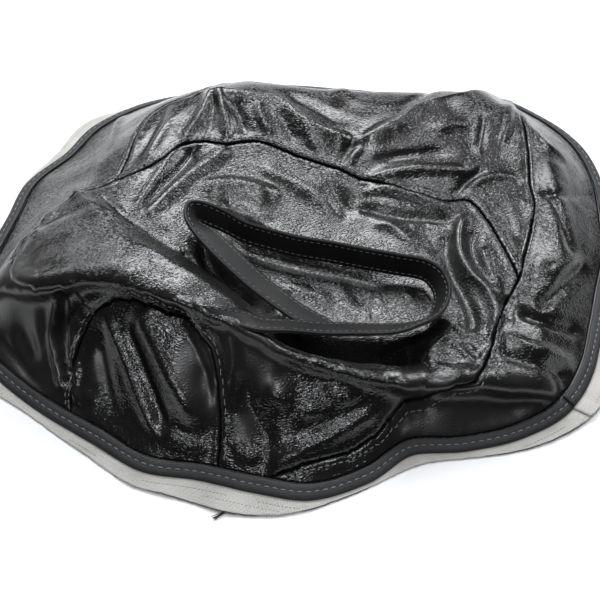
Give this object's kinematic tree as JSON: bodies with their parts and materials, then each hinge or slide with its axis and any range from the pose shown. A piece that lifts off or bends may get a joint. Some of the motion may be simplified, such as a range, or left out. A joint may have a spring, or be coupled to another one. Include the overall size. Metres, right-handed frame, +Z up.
{
  "type": "slip-on leather cover",
  "caption": "Soft black leather slip-on cover, empty and slumped, with sewn panels, a long grab strap and a stitched canvas hem.",
  "frame": {"origin": "centre of the footprint, on the floor", "axes": "+X along the long side, +Y to the back, +Z up"},
  "size_m": [0.6834, 0.601, 0.1047],
  "materials": {
    "leather": "glossy pebbled, creased",
    "strap_leather": "satin, smooth",
    "binding": "matte charcoal twill",
    "canvas": "plain woven, raw",
    "thread": "waxed grey",
    "pale_thread": "light grey",
    "tape": "matte",
    "webbing": "matte"
  },
  "bodies": {
    "cover": {"arch_seam_tape": "tape", "arch_seam_thread": "thread", "back_panel": "leather", "back_seam_tape": "tape", "back_seam_thread": "thread", "binding_thread_back": "pale_thread", "binding_thread_front": "pale_thread", "binding_thread_right": "pale_thread", "canvas_hem_back": "canvas", "canvas_hem_front": "canvas", "canvas_hem_right": "canvas", "front_gusset_panel": "leather", "left_end_panel": "leather", "left_seam_tape": "tape", "left_seam_thread": "thread", "right_end_panel": "leather", "right_seam_tape": "tape", "right_seam_thread": "thread", "rim_binding_back": "binding", "rim_binding_front": "binding", "rim_binding_right": "binding", "strap_patch_left": "tape", "strap_patch_right": "tape", "top_panel": "leather"},
    "strap": {"strap_core_webbing": "webbing", "strap_inner_leather": "strap_leather", "strap_outer_leather": "strap_leather", "strap_thread_inner_edge": "thread", "strap_thread_outer_edge": "thread"}
  },
  "joints": [
    {"name": "strap_lift", "type": "hinge", "parent": "cover", "child": "strap", "pos_m": [0.00102, -0.17399, 0.084], "axis": [1, 0, 0], "range_deg": [0, 80]}
  ]
}
